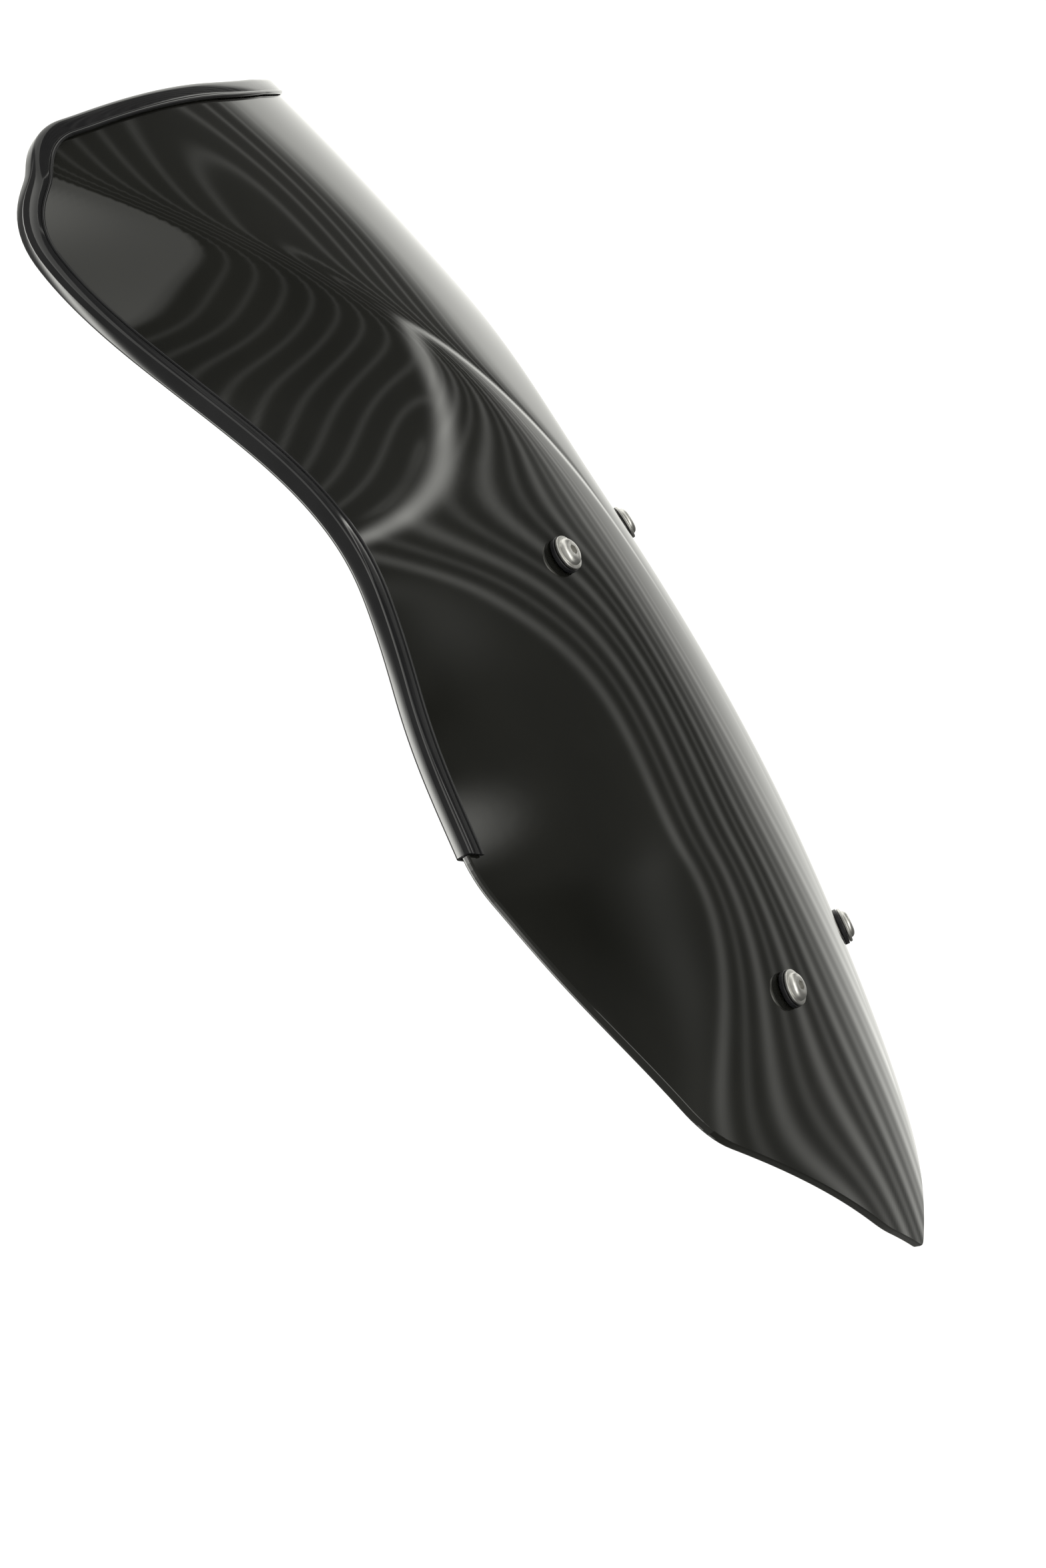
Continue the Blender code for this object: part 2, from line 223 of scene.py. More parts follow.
def front_slopes(flat):
    x, z = flat[..., 0], flat[..., 1]
    step = 0.05
    across = (front_y(x + step, z) - front_y(x - step, z)) / (2 * step)
    upward = (front_y(x, z + step) - front_y(x, z - step)) / (2 * step)
    return across, upward


def unit(vectors):
    return vectors / np.linalg.norm(vectors, axis=-1, keepdims=True)


def front_normals(flat):
    across, upward = front_slopes(flat)
    return unit(np.stack([across, -np.ones_like(across), upward], -1))


def round_corner(before, corner, after, radius):
    """Points of the arc that rounds a corner of the outline."""
    before, corner, after = (np.array(point, float) for point in (before, corner, after))
    inward = unit(before - corner)
    onward = unit(after - corner)
    half = math.acos(float(inward @ onward)) / 2
    centre = corner + unit(inward + onward) * radius / math.sin(half)
    start = corner + inward * radius / math.tan(half) - centre
    side = np.sign(start[0] * onward[1] - start[1] * onward[0])
    angles = side * (math.pi - 2 * half) * np.linspace(0, 1, ARC_POINTS + 1)
    cosines, sines = np.cos(angles), np.sin(angles)
    turned = np.stack([cosines * start[0] - sines * start[1], sines * start[0] + cosines * start[1]], -1)
    return centre + turned


def outline_runs():
    """The right half of the outline in three runs of (x, z) points that meet in the middles of the corners."""
    middle = ARC_POINTS // 2
    mirrored = (-OUTLINE[1][0], OUTLINE[1][1])
    run = [round_corner(mirrored, OUTLINE[0][:2], OUTLINE[1][:2], OUTLINE[0][2])[middle:]]
    runs = []
    for index in range(1, len(OUTLINE) - 1):
        before, corner, after = (OUTLINE[index + way][:2] for way in (-1, 0, 1))
        arc = round_corner(before, corner, after, OUTLINE[index][2])
        if index in (LOWER_CORNER, UPPER_CORNER):
            runs.append(np.concatenate(run + [arc[: middle + 1]]))
            run = [arc[middle:]]
        else:
            run.append(arc)
    runs.append(np.concatenate(run + [[OUTLINE[-1][:2]]]))
    return runs


def spaced(points, count):
    """That many even steps along a polyline."""
    lengths = np.concatenate([[0], np.cumsum(np.linalg.norm(np.diff(points, axis=0), axis=1))])
    at = np.linspace(0, lengths[-1], count + 1)
    return np.stack([np.interp(at, lengths, points[:, k]) for k in (0, 1)], -1)


def inward_directions(points):
    """Unit (x, z) directions from the points of a half outline towards the middle of the sheet."""
    along = np.empty_like(points)
    along[1:-1] = points[2:] - points[:-2]
    along[0] = (1, 0)
    along[-1] = (-1, 0)
    return unit(np.stack([-along[:, 1], along[:, 0]], -1))


def inset(points, directions, distance):
    """(x, z) points a distance inward along the front face."""
    across, upward = front_slopes(points)
    slope = across * directions[..., 0] + upward * directions[..., 1]
    return points + directions * (distance / np.hypot(1, slope))[..., None]


def half_edge():
    """The half outline of the flat front face, inside its rounded edge, and its inward directions."""
    bottom, side, top = outline_runs()
    loop = np.concatenate([spaced(bottom, COLUMNS)[:-1], spaced(side, ROWS)[:-1], spaced(top, COLUMNS)])
    directions = inward_directions(loop)
    return inset(loop, directions, EDGE_ROUND), directions


def coons_half(loop):
    """Rows of (x, z) points that fill the half between the centre line and its three edges."""
    bottom, side = loop[: COLUMNS + 1], loop[COLUMNS : COLUMNS + ROWS + 1]
    top = loop[COLUMNS + ROWS :][::-1]
    u = np.linspace(0, 1, COLUMNS + 1)[None, :, None]
    v = np.linspace(0, 1, ROWS + 1)[:, None, None]
    left = (1 - v) * bottom[0] + v * top[0]
    corners = (1 - v) * ((1 - u) * bottom[0] + u * bottom[-1]) + v * ((1 - u) * top[0] + u * top[-1])
    return (1 - v) * bottom[None] + v * top[None] + (1 - u) * left + u * side[:, None] - corners


def new_mesh(name, vertices, faces):
    mesh = bpy.data.meshes.new(name)
    mesh.from_pydata(np.asarray(vertices).tolist(), [], faces)
    mesh.update()
    return mesh


def new_piece(name, mesh, material, body, slot, *nodes):
    """An object that rides on a body and stands for CAD nodes."""
    piece = bpy.data.objects.new(name, mesh)
    bpy.context.scene.collection.objects.link(piece)
    mesh.materials.clear()
    mesh.materials.append(material)
    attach(piece, body)
    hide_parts(*nodes)
    return piece


def grid_faces(rows, columns, first, flipped):
    faces = []
    for j in range(rows):
        for i in range(columns):
            a = first + j * (columns + 1) + i
            b = a + columns + 1
            faces.append((a, b, b + 1, a + 1) if flipped else (a, a + 1, b + 1, b))
    return faces


def pane_geometry():
    """Vertices, faces and vertex normals of the sheet without its holes."""
    loop, directions = half_edge()
    half = coons_half(loop)
    mirrored = half[:, :0:-1] * (-1, 1)
    flat = np.concatenate([mirrored, half], 1)
    front = front_points(flat)
    normals = front_normals(flat)
    rear = front - normals * PANE_THICKNESS
    columns = 2 * COLUMNS
    count = (ROWS + 1) * (columns + 1)
    faces = grid_faces(ROWS, columns, 0, False) + grid_faces(ROWS, columns, count, True)
    ring = [COLUMNS + i for i in range(COLUMNS)]
    ring += [j * (columns + 1) + columns for j in range(ROWS)]
    ring += [ROWS * (columns + 1) + i for i in range(columns, 0, -1)]
    ring += [j * (columns + 1) for j in range(ROWS, 0, -1)]
    ring += [i for i in range(COLUMNS)]
    inward = np.concatenate([directions[:-1], directions[:0:-1] * (-1, 1)])
    edge_flat = flat.reshape(-1, 2)[ring]
    inner = front_points(inset(edge_flat, inward, 1.0))
    edge_front = front.reshape(-1, 3)[ring]
    edge_normals = normals.reshape(-1, 3)[ring]
    outward = unit(edge_front - inner)
    vertices = [front.reshape(-1, 3), rear.reshape(-1, 3)]
    vertex_normals = [normals.reshape(-1, 3), -normals.reshape(-1, 3)]
    previous = np.array(ring)
    for index, (out, depth) in enumerate(EDGE_PROFILE):
        vertices.append(edge_front + outward * out * EDGE_ROUND - edge_normals * depth * PANE_THICKNESS)
        lean = (0.5 - depth) * 2
        tilt = lean if abs(lean) > 0.5 else 0.0
        vertex_normals.append(unit(outward * (1 - abs(tilt)) + edge_normals * tilt))
        current = np.arange(len(ring)) + 2 * count + index * len(ring)
        faces += strip(previous, current)
        previous = current
    faces += strip(previous, np.array(ring) + count)
    return np.concatenate(vertices), faces, np.concatenate(vertex_normals)


def strip(first, second):
    """Quads between two closed rings of vertex numbers."""
    faces = []
    for k in range(len(first)):
        after = (k + 1) % len(first)
        faces.append((int(first[k]), int(second[k]), int(second[after]), int(first[after])))
    return faces


def drill(piece, cutter_mesh):
    """Cuts a mesh out of a piece."""
    cutter = bpy.data.objects.new("cutter", cutter_mesh)
    bpy.context.scene.collection.objects.link(cutter)
    modifier = piece.modifiers.new("cut", "BOOLEAN")
    modifier.operation = "DIFFERENCE"
    modifier.solver = "EXACT"
    modifier.object = cutter
    bpy.context.view_layer.update()
    evaluated = piece.evaluated_get(bpy.context.evaluated_depsgraph_get())
    result = bpy.data.meshes.new_from_object(evaluated)
    piece.modifiers.clear()
    piece.data = result
    bpy.data.objects.remove(cutter)


def prism(sides, radius, length, height, matrix):
    """A closed prism about the matrix's Z axis, with its middle at a height in millimetres."""
    mesh = bpy.data.meshes.new("prism")
    bm = bmesh.new()
    bmesh.ops.create_cone(
        bm, cap_ends=True, segments=sides, radius1=radius * MM, radius2=radius * MM, depth=length * MM,
        matrix=Matrix.Translation((0, 0, height * MM)),
    )
    bm.to_mesh(mesh)
    bm.free()
    mesh.transform(matrix)
    return mesh


def polished_normals(mesh):
    """Corner normals after the holes are cut: stored ones, the surface's own round a hole, flat in its wall."""
    stored = np.empty(len(mesh.vertices) * 3, np.float32)
    mesh.attributes["polish"].data.foreach_get("vector", stored)
    stored = stored.reshape(-1, 3)
    was_stored = np.linalg.norm(stored, axis=1) > 0.5
    places = np.array([vertex.co for vertex in mesh.vertices]) / MM - np.array(NOSE)
    surface = front_normals(places[:, [0, 2]])
    normals = []
    for polygon in mesh.polygons:
        flat = np.array(polygon.normal)
        for vertex in polygon.vertices:
            facing = float(flat @ surface[vertex])
            if abs(facing) > FACE_COSINE:
                normal = stored[vertex] if was_stored[vertex] else surface[vertex] * np.sign(facing)
            else:
                normal = stored[vertex] if stored[vertex] @ flat > EDGE_COSINE else flat
            normals.append(tuple(map(float, normal)))
    return normals


def build_pane(material):
    vertices, faces, normals = pane_geometry()
    mesh = new_mesh("screen_sheet", vertices * MM, faces)
    polish = mesh.attributes.new("polish", "FLOAT_VECTOR", "POINT")
    polish.data.foreach_set("vector", normals.astype(np.float32).ravel())
    piece = new_piece("screen_sheet", mesh, material, "screen", "acrylic", "screen_pane")
    for level in FIXINGS:
        for side in SIDES:
            matrix = fixing_matrix(level, side)
            drill(piece, prism(TURNED_STEPS, HOLE_RADIUS, 4 * PANE_THICKNESS, -PANE_THICKNESS / 2, matrix))
    piece.data.shade_smooth()
    piece.data.normals_split_custom_set(polished_normals(piece.data))
    return piece


def trim_profile():
    """The U-section's (outward, forward) points: two rounded legs, a full nose and a bead on the front leg."""
    front = TRIM_CLEARANCE
    rear = -PANE_THICKNESS - TRIM_CLEARANCE
    outer_front = front + TRIM_WALL
    outer_rear = rear - TRIM_WALL
    points = [(-TRIM_LEG, front)]
    for step in range(7):
        angle = math.pi * step / 6
        bead = -TRIM_LEG + TRIM_BEAD * (1 - 1.3 * math.cos(angle))
        points.append((bead, outer_front - 0.25 + (0.25 + 0.5 * TRIM_BEAD) * math.sin(angle)))
    points.append((-TRIM_LEG + 3.2 * TRIM_BEAD, outer_front - 0.05))
    for step in range(7):
        angle = math.pi / 2 * step / 6
        out = TRIM_NOSE * (1 - NOSE_TAPER * (1 - math.sin(angle)))
        points.append((out, outer_front - NOSE_ROUND * (1 - math.cos(angle))))
    for step in range(7):
        angle = math.pi / 2 * (1 - step / 6)
        out = TRIM_NOSE * (1 - NOSE_TAPER * (1 - math.sin(angle)))
        points.append((out, outer_rear + NOSE_ROUND * (1 - math.cos(angle))))
    for step in range(5):
        angle = math.pi * step / 4
        height = outer_rear + (rear - outer_rear) * (1 - math.cos(angle)) / 2
        points.append((-TRIM_LEG - LEG_ROUND * math.sin(angle), height))
    points += [(TRIM_CLEARANCE, rear), (TRIM_CLEARANCE, front)]
    return np.array(points)


def build_trim(material):
    _, side, top = outline_runs()
    start = int(np.argmax(side[:, 1] > TRIM_END_HEIGHT))
    share = (TRIM_END_HEIGHT - side[start - 1, 1]) / (side[start, 1] - side[start - 1, 1])
    first = side[start - 1] + share * (side[start] - side[start - 1])
    half = spaced(np.concatenate([[first], side[start:], top[1:]]), TRIM_STATIONS)
    flat = np.concatenate([half, half[-2::-1] * (-1, 1)])
    along = np.gradient(flat, axis=0)
    inward = unit(np.stack([-along[:, 1], along[:, 0]], -1))
    edge = front_points(flat)
    inner = front_points(inset(flat, inward, TRIM_LEG))
    outward = unit(edge - inner)
    forward = unit(np.cross(outward, np.gradient(edge, axis=0)))
    profile = trim_profile()
    rings = edge[:, None] + outward[:, None] * profile[None, :, :1] + forward[:, None] * profile[None, :, 1:]
    count = len(profile)
    faces = [tuple(range(count - 1, -1, -1))]
    for station in range(len(flat) - 1):
        low = station * count
        for k in range(count):
            after = (k + 1) % count
            faces.append((low + k, low + after, low + count + after, low + count + k))
    last = (len(flat) - 1) * count
    faces.append(tuple(range(last, last + count)))
    mesh = new_mesh("edge_trim_fine", rings.reshape(-1, 3) * MM, faces)
    mesh.shade_smooth()
    mesh.set_sharp_from_angle(angle=math.radians(48))
    return new_piece("edge_trim_fine", mesh, material, "screen", "trim", "edge_trim")


def fixing_matrix(level, side):
    """Placement of a fixing: its origin on the front face, its +Z out along the screw's axis."""
    x, z = FIXINGS[level]
    flat = np.array([x * SIDES[side], z])
    normal = Vector(front_normals(flat))
    turn = normal.to_track_quat("Z", "Y").to_matrix().to_4x4()
    return Matrix.Translation(Vector(front_points(flat)) * MM) @ turn


def rounded_profile(corners):
    """(radius, height) points of a turned profile, with a short curve at each corner that has a round."""
    points = []
    for index, (radius, height, fillet) in enumerate(corners):
        if not fillet:
            points.append((radius, height))
            continue
        here = Vector((radius, height))
        before = (Vector(corners[index - 1][:2]) - here).normalized() * fillet
        after = (Vector(corners[(index + 1) % len(corners)][:2]) - here).normalized() * fillet
        for step in range(5):
            t = step / 4
            points.append(tuple(here + before * (1 - t) ** 2 + after * t**2))
    return points


def turned_mesh(name, profile, matrix):
    """A closed body turned about the matrix's Z axis, its profile listed down the outer side."""
    vertices, faces = [], []
    count = len(profile)
    open_ends = profile[0][0] == 0
    for step in range(TURNED_STEPS):
        angle = 2 * math.pi * step / TURNED_STEPS
        vertices += [(r * math.cos(angle), r * math.sin(angle), h) for r, h in profile]
    for step in range(TURNED_STEPS):
        low = step * count
        high = (step + 1) % TURNED_STEPS * count
        for k in range(count - 1 if open_ends else count):
            after = (k + 1) % count
            faces.append((low + k, low + after, high + after, high + k))
    mesh = new_mesh(name, np.array(vertices) * MM, faces)
    bm = bmesh.new()
    bm.from_mesh(mesh)
    bmesh.ops.remove_doubles(bm, verts=bm.verts, dist=0.000001)
    bmesh.ops.recalc_face_normals(bm, faces=bm.faces)
    bm.to_mesh(mesh)
    bm.free()
    turned = mesh.attributes.new("turned", "FLOAT_VECTOR", "POINT")
    for vertex, place in zip(mesh.vertices, turned.data):
        x, y, z = vertex.co / MM
        place.vector = (math.hypot(x, y), math.atan2(y, x), z)
    mesh.transform(matrix)
    mesh.shade_smooth()
    mesh.set_sharp_from_angle(angle=math.radians(35))
    return mesh


def screw_profile():
    top = HEAD_BASE + HEAD_HEIGHT
    shoulder = HEAD_BASE + FLANGE_THICKNESS
    tip = HEAD_BASE - SCREW_LENGTH
    points = [(0, top), (CROWN_RADIUS, top)]
    for step in range(1, 13):
        angle = math.pi / 2 * step / 12
        radius = CROWN_RADIUS + (DOME_RADIUS - CROWN_RADIUS) * math.sin(angle)
        points.append((radius, shoulder + (top - shoulder) * math.cos(angle)))
    points += rounded_profile(
        [(DOME_RADIUS, shoulder, 0), (FLANGE_RADIUS, shoulder - 0.15, 0.3), (FLANGE_RADIUS, HEAD_BASE, 0.15),
         (SHANK_RADIUS, HEAD_BASE, 0)]
    )[1:]
    thread_top = HEAD_BASE - 3.0
    turns = int((thread_top - tip - 0.8) / THREAD_PITCH)
    for turn in range(turns):
        height = thread_top - turn * THREAD_PITCH
        points += [(SHANK_RADIUS, height), (SHANK_RADIUS - THREAD_DEPTH, height - 0.45 * THREAD_PITCH)]
    points += [(SHANK_RADIUS, tip + 0.6), (SHANK_RADIUS - 0.6, tip), (0, tip)]
    return points


def cut_socket(piece, matrix):
    """Cuts the hex socket into a screw's head."""
    top = HEAD_BASE + HEAD_HEIGHT
    across_corners = SOCKET_WIDTH / math.cos(math.pi / 6)
    drill(piece, prism(6, across_corners / 2, SOCKET_DEPTH + 1, top + 0.5 - SOCKET_DEPTH / 2, matrix))


def ring_profile(top, base, inner, outer, fillet):
    return rounded_profile([(inner, top, 0), (outer, top, fillet), (outer, base, fillet), (inner, base, 0)])


def nut_profile():
    pocket = INSERT_RADIUS + GAP
    pocket_top = NUT_END + INSERT_LENGTH + GAP
    return rounded_profile(
        [(BORE_RADIUS, NUT_TOP, 0), (NUT_FLANGE_RADIUS, NUT_TOP, 0.4), (NUT_FLANGE_RADIUS, NUT_SEAT, 0.25),
         (NUT_RADIUS, NUT_SEAT, 0), (NUT_RADIUS, NUT_END, 0.5), (pocket, NUT_END, 0), (pocket, pocket_top, 0),
         (BORE_RADIUS, pocket_top, 0)]
    )


def insert_profile():
    seat = NUT_END - GAP
    top = seat + INSERT_LENGTH
    flange_end = seat - INSERT_FLANGE_THICKNESS
    return rounded_profile(
        [(BORE_RADIUS, top, 0), (INSERT_RADIUS, top, 0.3), (INSERT_RADIUS, seat, 0),
         (INSERT_FLANGE_RADIUS, seat, 0.2), (INSERT_FLANGE_RADIUS, flange_end, 0.2),
         (BORE_RADIUS, flange_end, 0.3)]
    )


def build_fixings(materials):
    washer_top = WASHER_BASE + WASHER_THICKNESS
    washer = ring_profile(washer_top, WASHER_BASE, BORE_RADIUS, WASHER_RADIUS, 0.25)
    for level in FIXINGS:
        for side in SIDES:
            place = f"{level}_{side}"
            matrix = fixing_matrix(level, side)
            screw_name = "screw_" + place
            screw = new_piece(
                screw_name + "_fine", turned_mesh(screw_name, screw_profile(), matrix),
                materials["stainless"], screw_name, "stainless", screw_name,
            )
            cut_socket(screw, matrix)
            parts = (
                ("washer_", washer, "nylon", "washer_" + place),
                ("well_nut_", nut_profile(), "rubber", "screen"),
                ("insert_", insert_profile(), "brass", "screen"),
            )
            for kind, profile, slot, body in parts:
                node = kind + place
                mesh = turned_mesh(node, profile, matrix)
                new_piece(node + "_fine", mesh, materials[slot], body, slot, node)


class Look:
    """A Principled material and short ways to feed its sockets from procedural patterns."""

    def __init__(self, name, metallic=0.0, ior=1.5):
        self.material = bpy.data.materials.new(name)
        self.material.use_nodes = True
        self.tree = self.material.node_tree
        self.shader = self.tree.nodes["Principled BSDF"]
        self.shader.inputs["Metallic"].default_value = metallic
        self.shader.inputs["IOR"].default_value = ior

    def node(self, kind, **settings):
        node = self.tree.nodes.new(kind)
        for name, value in settings.items():
            setattr(node, name, value)
        return node

    def join(self, output, target):
        self.tree.links.new(output, target)

    def place(self, stretch=(1, 1, 1), turn=(0, 0, 0)):
        """Object coordinates, stretched and turned."""
        coordinates = self.node("ShaderNodeTexCoord")
        mapping = self.node("ShaderNodeMapping")
        mapping.inputs["Scale"].default_value = stretch
        mapping.inputs["Rotation"].default_value = [math.radians(angle) for angle in turn]
        self.join(coordinates.outputs["Object"], mapping.inputs["Vector"])
        return mapping.outputs["Vector"]

    def rings(self, stretch):
        """Radius, angle and height on a turned part, stretched."""
        attribute = self.node("ShaderNodeAttribute", attribute_name="turned")
        mapping = self.node("ShaderNodeMapping")
        mapping.inputs["Scale"].default_value = stretch
        self.join(attribute.outputs["Vector"], mapping.inputs["Vector"])
        return mapping.outputs["Vector"]

    def noise(self, vector, scale, detail=3.0, distortion=0.0):
        noise = self.node("ShaderNodeTexNoise")
        noise.inputs["Scale"].default_value = scale
        noise.inputs["Detail"].default_value = detail
        noise.inputs["Distortion"].default_value = distortion
        self.join(vector, noise.inputs["Vector"])
        return noise.outputs["Fac"]

    def spread(self, pattern, low, high, start=0.35, end=0.65):
        """Maps a pattern's middle values onto the numbers from low to high."""
        span = self.node("ShaderNodeMapRange")
        for name, value in (("From Min", start), ("From Max", end), ("To Min", low), ("To Max", high)):
            span.inputs[name].default_value = value
        self.join(pattern, span.inputs["Value"])
        return span.outputs["Result"]

    def colour(self, pattern, first, second, start=0.35, end=0.65):
        ramp = self.node("ShaderNodeValToRGB")
        for stop, position, value in zip(ramp.color_ramp.elements, (start, end), (first, second)):
            stop.position = position
            stop.color = (*value, 1)
        self.join(pattern, ramp.inputs["Fac"])
        self.join(ramp.outputs["Color"], self.shader.inputs["Base Color"])

    def roughness(self, pattern, low, high, start=0.35, end=0.65):
        self.join(self.spread(pattern, low, high, start, end), self.shader.inputs["Roughness"])

    def bump(self, pattern, height, base=None):
        """Raises the pattern by a height in metres, on top of another bump if one is given."""
        bump = self.node("ShaderNodeBump")
        bump.inputs["Strength"].default_value = 1.0
        bump.inputs["Distance"].default_value = height
        self.join(pattern, bump.inputs["Height"])
        if base is not None:
            self.join(base, bump.inputs["Normal"])
        self.join(bump.outputs["Normal"], self.shader.inputs["Normal"])
        return bump.outputs["Normal"]


def acrylic():
    """Dark smoked sheet, polished, with faint wipe marks and a very fine grain."""
    look = Look("smoked_acrylic", ior=1.49)
    look.colour(look.noise(look.place(), 14.0), (0.0060, 0.0061, 0.0048), (0.0090, 0.0090, 0.0072))
    wipes = look.noise(look.place((9, 60, 14), (20, 35, 10)), 4.0, 5.0, 0.6)
    look.roughness(wipes, 0.012, 0.035)
    look.bump(look.noise(look.place(), 1500.0, 2.0), 0.0000004)
    return look.material


def trim_pvc():
    """Glossy black extruded PVC with faint drawing lines and scuffs."""
    look = Look("trim_pvc", ior=1.5)
    look.colour(look.noise(look.place(), 55.0), (0.005, 0.005, 0.0055), (0.009, 0.009, 0.0095))
    look.roughness(look.noise(look.place((30, 30, 30)), 6.0, 5.0), 0.05, 0.12)
    look.bump(look.noise(look.place(), 2600.0, 2.0), 0.0000010)
    return look.material


def stainless():
    """Bright stainless steel with turned rings and small stains."""
    look = Look("stainless", metallic=1.0)
    look.colour(look.noise(look.place(), 420.0, 4.0), (0.70, 0.69, 0.66), (0.86, 0.85, 0.82))
    look.roughness(look.noise(look.rings((14, 0.4, 14)), 1.0, 4.0), 0.28, 0.42)
    look.bump(look.noise(look.rings((22, 0.2, 22)), 1.0, 2.0), 0.000004)
    return look.material


def nylon():
    """Black moulded nylon with a fine grain."""
    look = Look("nylon")
    look.colour(look.noise(look.place(), 300.0), (0.010, 0.010, 0.011), (0.020, 0.020, 0.021))
    look.roughness(look.noise(look.place(), 900.0), 0.22, 0.38)
    look.bump(look.noise(look.place(), 4200.0), 0.000006)
    return look.material


def rubber():
    """Black rubber, matt, with a soft bloom."""
    look = Look("rubber")
    look.colour(look.noise(look.place(), 180.0, 5.0), (0.014, 0.014, 0.014), (0.034, 0.033, 0.032))
    look.roughness(look.noise(look.place(), 260.0), 0.55, 0.80)
    look.bump(look.noise(look.place(), 2400.0), 0.00002)
    return look.material


def brass():
    """Turned brass, slightly tarnished."""
    look = Look("brass", metallic=1.0)
    look.colour(look.noise(look.place(), 350.0, 4.0), (0.52, 0.36, 0.14), (0.78, 0.58, 0.27))
    look.roughness(look.noise(look.rings((10, 0.4, 10)), 1.0, 4.0), 0.20, 0.38)
    look.bump(look.noise(look.rings((18, 0.2, 18)), 1.0, 2.0), 0.000005)
    return look.material


def camera_axes():
    """Unit vectors towards the camera, and to the picture's right and up."""
    azimuth, elevation = CAMERA_AZIMUTH, CAMERA_ELEVATION
    level = math.cos(elevation)
    towards = Vector((-math.cos(azimuth) * level, -math.sin(azimuth) * level, math.sin(elevation)))
    right = Vector((math.sin(azimuth), -math.cos(azimuth), 0))
    return towards, right, towards.cross(right)


def add_camera():
    towards, right, up = camera_axes()
    nose = Vector(NOSE) * MM
    data = bpy.data.cameras.new("camera")
    data.sensor_fit = "VERTICAL"
    data.sensor_height = 36
    data.lens = 36 * CAMERA_DISTANCE / FRAME_HEIGHT
    camera = bpy.data.objects.new("camera", data)
    bpy.context.scene.collection.objects.link(camera)
    place = nose + towards * CAMERA_DISTANCE + right * AIM_RIGHT + up * AIM_UP
    turn = Matrix((right, up, towards)).transposed().to_4x4()
    camera.matrix_world = Matrix.Translation(place) @ turn
    bpy.context.scene.camera = camera


def smooth(value, low, high):
    """Rises softly from 0 at low to 1 at high."""
    t = np.clip((value - low) / (high - low), 0, 1)
    return t * t * (3 - 2 * t)


def hump(azimuth, elevation, centre, size):
    """A soft round patch of light."""
    across = (azimuth - centre[0]) / size[0]
    upward = (elevation - centre[1]) / size[1]
    return np.exp(-(across**2 + upward**2))


def strip_light(azimuth, elevation):
    """The pale wall and the strip lights beside it, which bow to one side above and below."""
    along = azimuth - STRIP_BOW * (elevation - STRIP_MIDDLE) ** 2
    light = ROOM_DARK + (WALL_LIGHT - ROOM_DARK) * smooth(along, *WALL_EDGE)
    for index in range(STRIP_COUNT):
        width, brightness = STRIP_KINDS[index % len(STRIP_KINDS)]
        middle = STRIP_FIRST + STRIP_SPACING * index
        light = light + brightness * np.exp(-(((along - middle) / width) ** 2))
    return light


def ring_light(azimuth, elevation):
    """Bright rings on a dark panel, in a bright surround."""
    reach = np.hypot((azimuth - RINGS_CENTRE[0]) / RINGS_STRETCH, elevation - RINGS_CENTRE[1])
    reach = reach + RING_RIPPLE * np.sin(np.radians(azimuth * 8 + elevation * 5))
    wave = np.sin(math.pi * reach / RING_SPACING)
    light = ROOM_DARK + RING_LIGHT * np.exp(-((wave / RING_EDGE) ** 2))
    return light + (1 - light) * smooth(reach, *RINGS_END)


def seam_elevation(azimuth):
    """Height of the bright seam: level in the middle, curving down to the right and straight to the left."""
    left, right = SEAM_CORNERS
    curve = SEAM_FALL * np.maximum(azimuth - right, 0) ** 2
    return SEAM_HEIGHT - curve - SEAM_DROP * np.maximum(left - azimuth, 0)


def room_light(azimuth, elevation):
    """Brightness of the studio as the glossy parts mirror it, over directions in degrees."""
    above = elevation - seam_elevation(azimuth)
    streaks = strip_light(azimuth, elevation)
    light = streaks + (ring_light(azimuth, elevation) - streaks) * smooth(above, -0.5, 1.5)
    for centre, size, gain in SOFT_LIGHTS:
        light = light * (1 + gain * hump(azimuth, elevation, centre, size))
    light = light + SEAM_LIGHT * np.exp(-((above / SEAM_WIDTH) ** 2)) * smooth(-azimuth, *SEAM_FADE)
    light = light + (WALL_LIGHT - light) * smooth(azimuth, *WALL_SIDE) * smooth(elevation, *WALL_BASE)
    light = light + (ROOM_BEHIND - light) * smooth(azimuth, *BEHIND_EDGE)
    for centre, size, brightness in RIM_LIGHTS:
        light = light + brightness * hump(azimuth, elevation, centre, size)
    return light


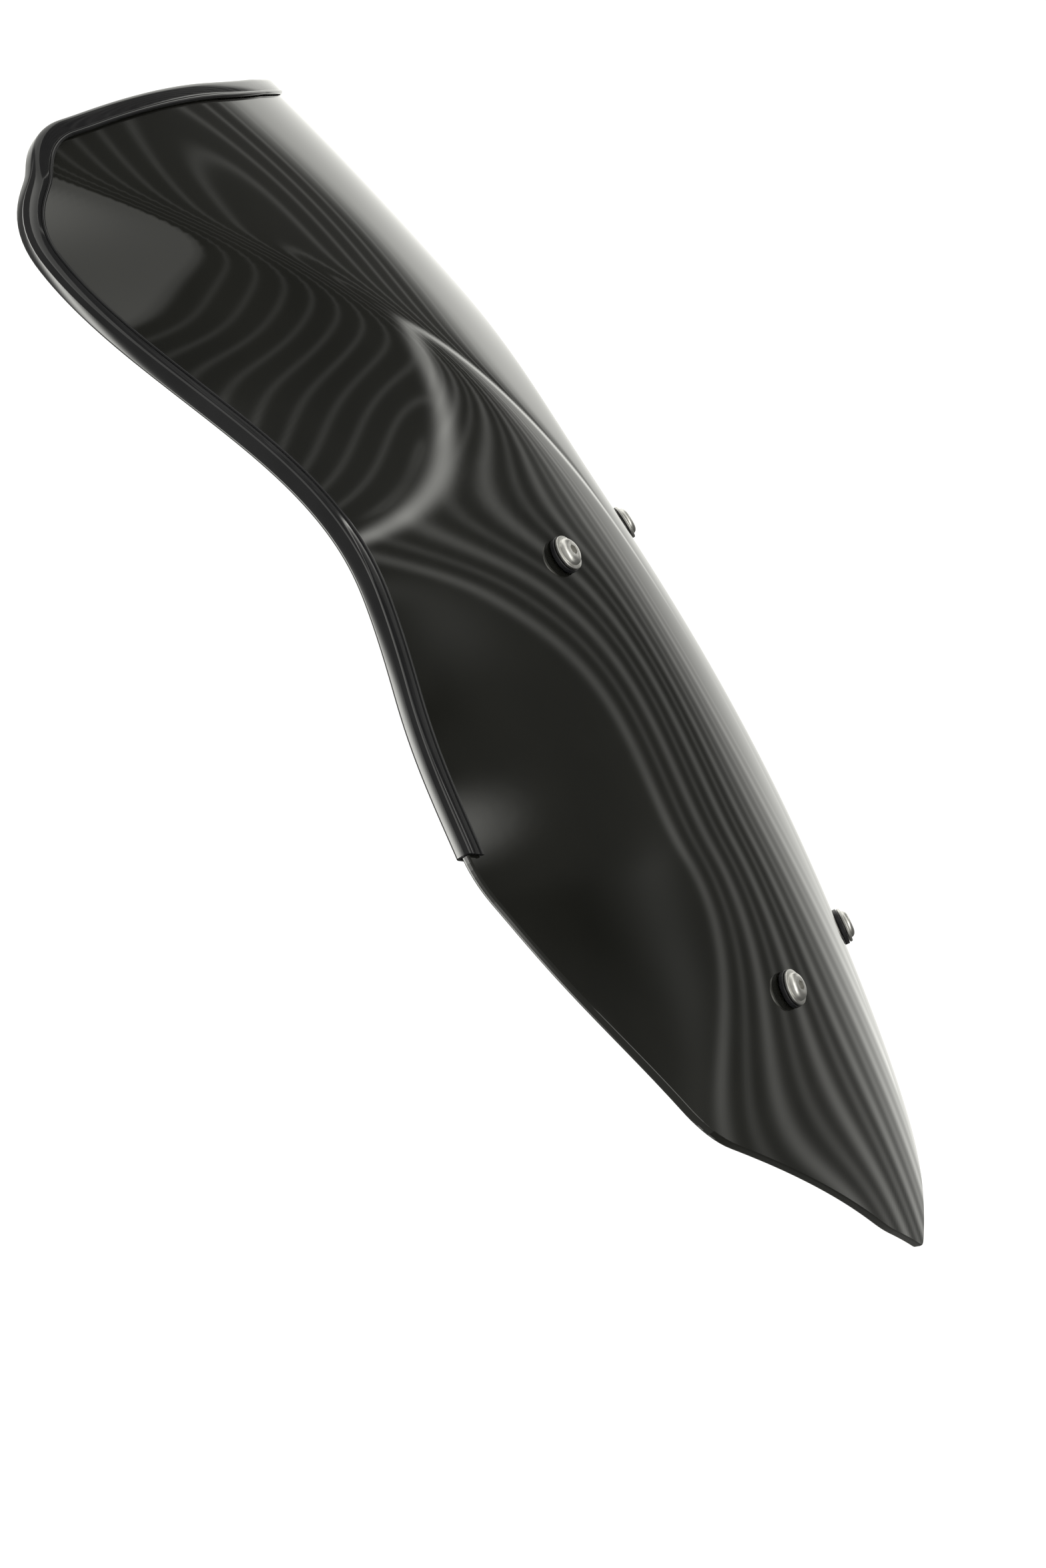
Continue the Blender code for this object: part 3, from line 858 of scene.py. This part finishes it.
def add_dome():
    """A sphere that only mirrors see, with the room's light painted on its points."""
    fine = np.arange(-15, 62, DOME_STEP)
    azimuths = np.concatenate([np.arange(-120, 25, DOME_STEP), np.arange(25, 240, 5), [240]])
    elevations = np.concatenate([np.arange(-90, -15, 5), fine, np.arange(62, 90, 4), [90]])
    azimuth, elevation = np.meshgrid(azimuths, elevations)
    level = np.cos(np.radians(elevation))
    x, y = level * np.cos(np.radians(azimuth)), level * np.sin(np.radians(azimuth))
    points = np.stack([x, y, np.sin(np.radians(elevation))], -1) * LIGHT_RADIUS
    faces = grid_faces(len(elevations) - 1, len(azimuths) - 1, 0, False)
    mesh = new_mesh("light_dome", points.reshape(-1, 3), faces)
    colours = mesh.color_attributes.new("light", "FLOAT_COLOR", "POINT")
    light = room_light(azimuth, elevation)[..., None] * np.array(ROOM_TINT)
    painted = np.concatenate([light, np.ones_like(light[..., :1])], -1)
    colours.data.foreach_set("color", painted.ravel().astype(np.float32))
    material = bpy.data.materials.new("light_dome")
    material.use_nodes = True
    tree = material.node_tree
    tree.nodes.clear()
    attribute = tree.nodes.new("ShaderNodeAttribute")
    attribute.attribute_name = "light"
    emission = tree.nodes.new("ShaderNodeEmission")
    output = tree.nodes.new("ShaderNodeOutputMaterial")
    tree.links.new(attribute.outputs["Color"], emission.inputs["Color"])
    tree.links.new(emission.outputs["Emission"], output.inputs["Surface"])
    mesh.materials.append(material)
    dome = bpy.data.objects.new("light_dome", mesh)
    bpy.context.scene.collection.objects.link(dome)
    dome.visible_camera = False
    dome.visible_diffuse = False
    dome.visible_transmission = False
    dome.visible_shadow = False


def add_floor():
    mesh = bpy.data.meshes.new("floor")
    bm = bmesh.new()
    bmesh.ops.create_grid(bm, x_segments=1, y_segments=1, size=FLOOR_SIZE)
    bm.to_mesh(mesh)
    bm.free()
    look = Look("pale_floor")
    look.colour(look.noise(look.place(), 30.0), (0.90, 0.90, 0.90), (0.92, 0.92, 0.92))
    look.roughness(look.noise(look.place(), 60.0), 0.75, 0.85)
    mesh.materials.append(look.material)
    floor = bpy.data.objects.new("floor", mesh)
    floor.location = (0, 0, FLOOR_HEIGHT)
    bpy.context.scene.collection.objects.link(floor)
    floor.visible_glossy = False


def add_studio():
    world = bpy.data.worlds.new("studio")
    world.use_nodes = True
    background = world.node_tree.nodes["Background"]
    background.inputs["Color"].default_value = (1.0, 1.0, 1.0, 1.0)
    background.inputs["Strength"].default_value = WORLD_STRENGTH
    world.cycles_visibility.glossy = False
    bpy.context.scene.world = world
    bpy.context.scene.view_settings.view_transform = "Standard"
    add_floor()
    add_dome()


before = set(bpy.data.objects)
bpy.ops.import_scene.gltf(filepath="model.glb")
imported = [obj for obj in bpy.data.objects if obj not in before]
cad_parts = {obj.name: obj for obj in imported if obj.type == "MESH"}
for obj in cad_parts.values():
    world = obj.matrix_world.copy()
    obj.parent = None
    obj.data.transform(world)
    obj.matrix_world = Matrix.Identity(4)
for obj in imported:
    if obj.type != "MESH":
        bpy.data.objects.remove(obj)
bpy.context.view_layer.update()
MATERIALS = {
    "acrylic": acrylic(),
    "trim": trim_pvc(),
    "stainless": stainless(),
    "nylon": nylon(),
    "rubber": rubber(),
    "brass": brass(),
}
build_pane(MATERIALS["acrylic"])
build_trim(MATERIALS["trim"])
build_fixings(MATERIALS)
add_camera()
add_studio()
